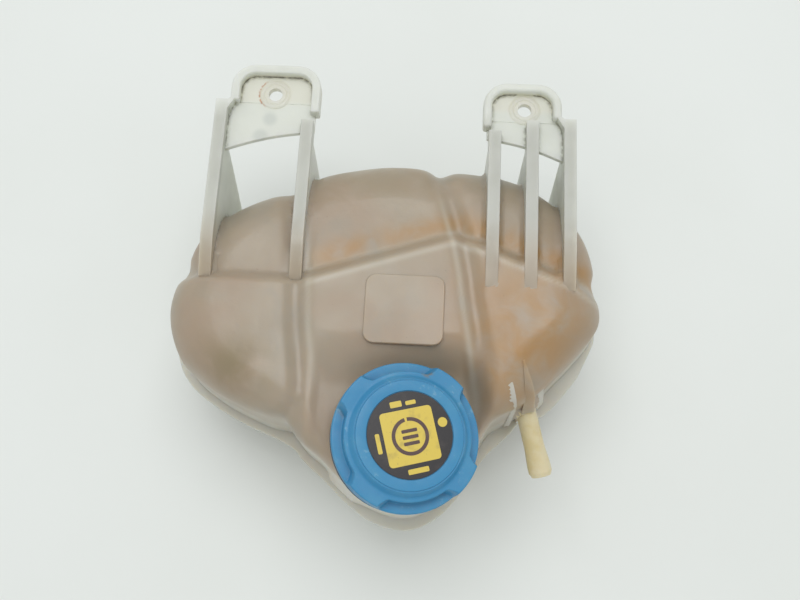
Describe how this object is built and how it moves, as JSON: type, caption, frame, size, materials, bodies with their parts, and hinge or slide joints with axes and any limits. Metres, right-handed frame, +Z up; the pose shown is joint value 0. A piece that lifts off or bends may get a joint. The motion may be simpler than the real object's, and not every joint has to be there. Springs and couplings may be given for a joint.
{
  "type": "coolant expansion tank",
  "caption": "Translucent welded coolant expansion tank with mounting ears, hose spigots and a screw-on pressure cap that carries a spring-loaded valve cartridge.",
  "frame": {"origin": "on the flat underside, under the middle of the tank", "axes": "+Z up, the filler neck towards -Y, the mounting ears towards +Y"},
  "size_m": [0.2186, 0.2214, 0.1297],
  "materials": {
    "tank": "translucent, stained by coolant",
    "cap": "satin blue",
    "label": "printed foil",
    "cartridge": "satin black",
    "seal": "matte",
    "valve": "satin",
    "spring": "bright wire"
  },
  "bodies": {
    "tank": {"upper_shell": "tank", "lower_shell": "tank"},
    "cartridge": {"cartridge_housing": "cartridge", "cartridge_o_ring": "seal", "spring_retainer": "cartridge", "pressure_spring": "spring"},
    "cap": {"cap_knob": "cap", "cap_label": "label", "cap_clip": "spring"},
    "pressure_valve_set": {"pressure_valve": "valve", "pressure_seal": "seal", "vacuum_spring": "spring"},
    "vacuum_valve_set": {"vacuum_valve": "valve", "vacuum_seal": "seal", "vacuum_clip": "spring"}
  },
  "joints": [
    {"name": "cap_lift", "type": "slide", "parent": "tank", "child": "cartridge", "axis": [0.2079, 0, 0.9781], "range_m": [0, 0.008]},
    {"name": "cap_turn", "type": "hinge", "parent": "cartridge", "child": "cap", "pos_m": [0.0106, -0.05829, 0.117], "axis": [0.2079, 0, 0.9781], "range_deg": [0, 720.5]},
    {"name": "pressure_valve_lift", "type": "slide", "parent": "cartridge", "child": "pressure_valve_set", "axis": [0.2079, 0, 0.9781], "range_m": [0, 0.002], "stiffness_N_per_m": 400, "springref_m": -0.001, "deforming": ["pressure_spring"]},
    {"name": "vacuum_valve_drop", "type": "slide", "parent": "pressure_valve_set", "child": "vacuum_valve_set", "axis": [-0.2079, 0, -0.9781], "range_m": [0, 0.0012], "stiffness_N_per_m": 40, "springref_m": -0.001, "deforming": ["vacuum_spring"]}
  ],
  "couplings": [
    {"joint": "cap_turn", "follows": "cap_lift", "rad_per_m": 1570.8}
  ]
}
